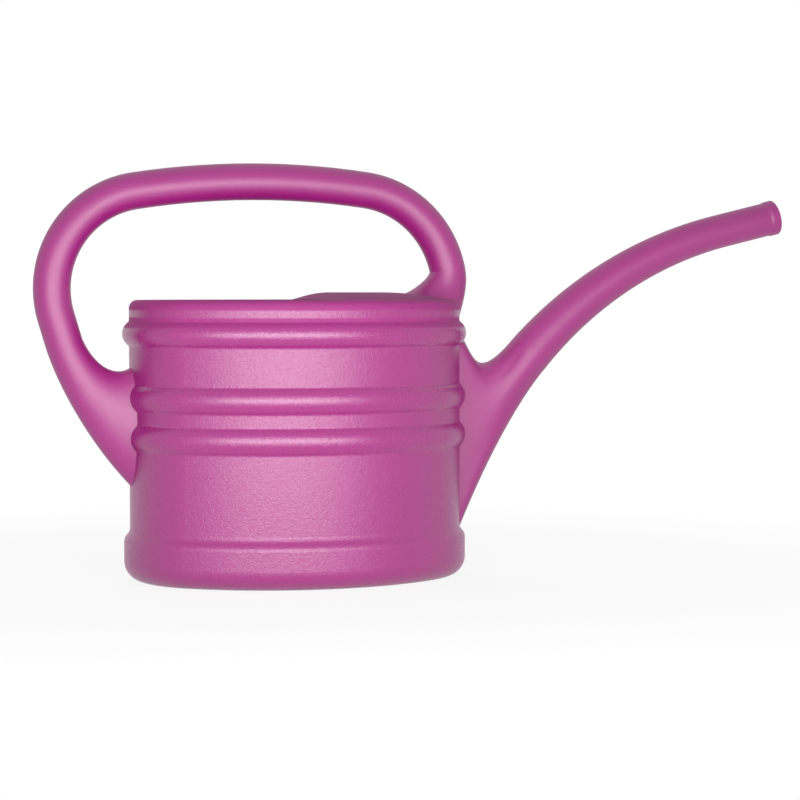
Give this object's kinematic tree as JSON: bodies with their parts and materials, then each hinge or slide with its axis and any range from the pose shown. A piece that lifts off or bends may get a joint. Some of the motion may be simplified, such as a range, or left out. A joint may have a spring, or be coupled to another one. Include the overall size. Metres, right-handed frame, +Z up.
{
  "type": "watering can",
  "caption": "Oval ribbed plastic watering can with a bowed tube handle, half-covered top, flared foot band and a long curved spout with a plain swollen lip.",
  "frame": {"origin": "on the floor, in the standing plane of the base, under the middle of the oval tank", "axes": "+X towards the spout, +Y to the left of someone pouring, +Z up"},
  "size_m": [0.5667, 0.1836, 0.2969],
  "materials": {
    "shell": "satin magenta polyethylene with a fine blasted grain"
  },
  "bodies": {
    "root": {"base_pan": "shell", "tank_wall": "shell", "rim_collar": "shell", "hood": "shell", "handle_grip": "shell", "handle_rear_foot": "shell", "handle_front_foot": "shell", "spout_root": "shell", "spout_tube_lower": "shell", "spout_tube_upper": "shell", "spout_nozzle": "shell"}
  },
  "joints": []
}
